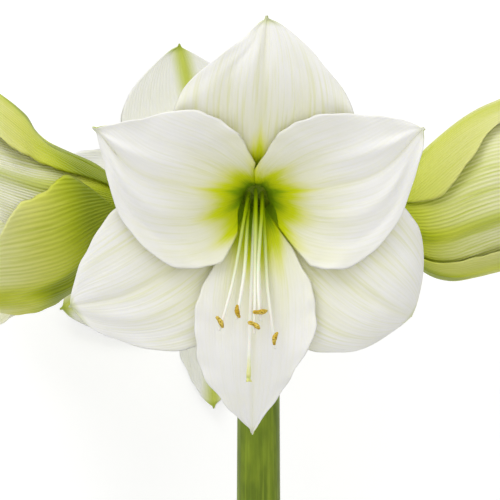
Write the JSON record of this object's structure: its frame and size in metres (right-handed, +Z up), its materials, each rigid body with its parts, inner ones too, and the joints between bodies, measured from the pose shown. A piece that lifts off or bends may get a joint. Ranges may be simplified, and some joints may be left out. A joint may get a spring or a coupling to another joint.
{
  "type": "amaryllis flower stem",
  "caption": "Cut amaryllis lying down: a hollow-ended scape with an umbel of white, green-throated trumpet flowers, each with tepals, stamens, style and stalk.",
  "frame": {"origin": "middle of the underside of the lying flower stem's bounding box, on the surface it lies on", "axes": "+Z up from the surface, +Y along the scape from the cut end towards the flowers, +X to the right of the front flower"},
  "size_m": [0.3196, 0.5228, 0.2452],
  "materials": {
    "white_petal": "satin, slightly translucent petal",
    "green_petal": "satin, yellow-green veined petal",
    "scape": "smooth waxy stalk",
    "pedicel": "smooth waxy stalk",
    "stamen": "satin filament, powdery ochre anther",
    "style": "satin",
    "bract": "dry, papery"
  },
  "bodies": {
    "root": {"scape": "scape", "left_bract": "bract", "right_bract": "bract", "front_pedicel": "pedicel", "front_outer_tepal_1": "white_petal", "front_outer_tepal_2": "white_petal", "front_outer_tepal_3": "white_petal", "front_inner_tepal_1": "white_petal", "front_inner_tepal_2": "white_petal", "front_inner_tepal_3": "white_petal", "front_stamen_1": "stamen", "front_stamen_2": "stamen", "front_stamen_3": "stamen", "front_stamen_4": "stamen", "front_stamen_5": "stamen", "front_stamen_6": "stamen", "front_style": "style", "right_pedicel": "pedicel", "right_outer_tepal_1": "green_petal", "right_outer_tepal_2": "green_petal", "right_outer_tepal_3": "green_petal", "right_inner_tepal_1": "green_petal", "right_inner_tepal_2": "green_petal", "right_inner_tepal_3": "green_petal", "right_stamen_1": "stamen", "right_stamen_2": "stamen", "right_stamen_3": "stamen", "right_stamen_4": "stamen", "right_stamen_5": "stamen", "right_stamen_6": "stamen", "right_style": "style", "rear_pedicel": "pedicel", "rear_outer_tepal_1": "white_petal", "rear_outer_tepal_2": "white_petal", "rear_outer_tepal_3": "white_petal", "rear_inner_tepal_1": "white_petal", "rear_inner_tepal_2": "white_petal", "rear_inner_tepal_3": "white_petal", "rear_stamen_1": "stamen", "rear_stamen_2": "stamen", "rear_stamen_3": "stamen", "rear_stamen_4": "stamen", "rear_stamen_5": "stamen", "rear_stamen_6": "stamen", "rear_style": "style", "left_pedicel": "pedicel", "left_outer_tepal_1": "green_petal", "left_outer_tepal_2": "green_petal", "left_outer_tepal_3": "green_petal", "left_inner_tepal_1": "green_petal", "left_inner_tepal_2": "green_petal", "left_inner_tepal_3": "green_petal", "left_stamen_1": "stamen", "left_stamen_2": "stamen", "left_stamen_3": "stamen", "left_stamen_4": "stamen", "left_stamen_5": "stamen", "left_stamen_6": "stamen", "left_style": "style"}
  },
  "joints": []
}
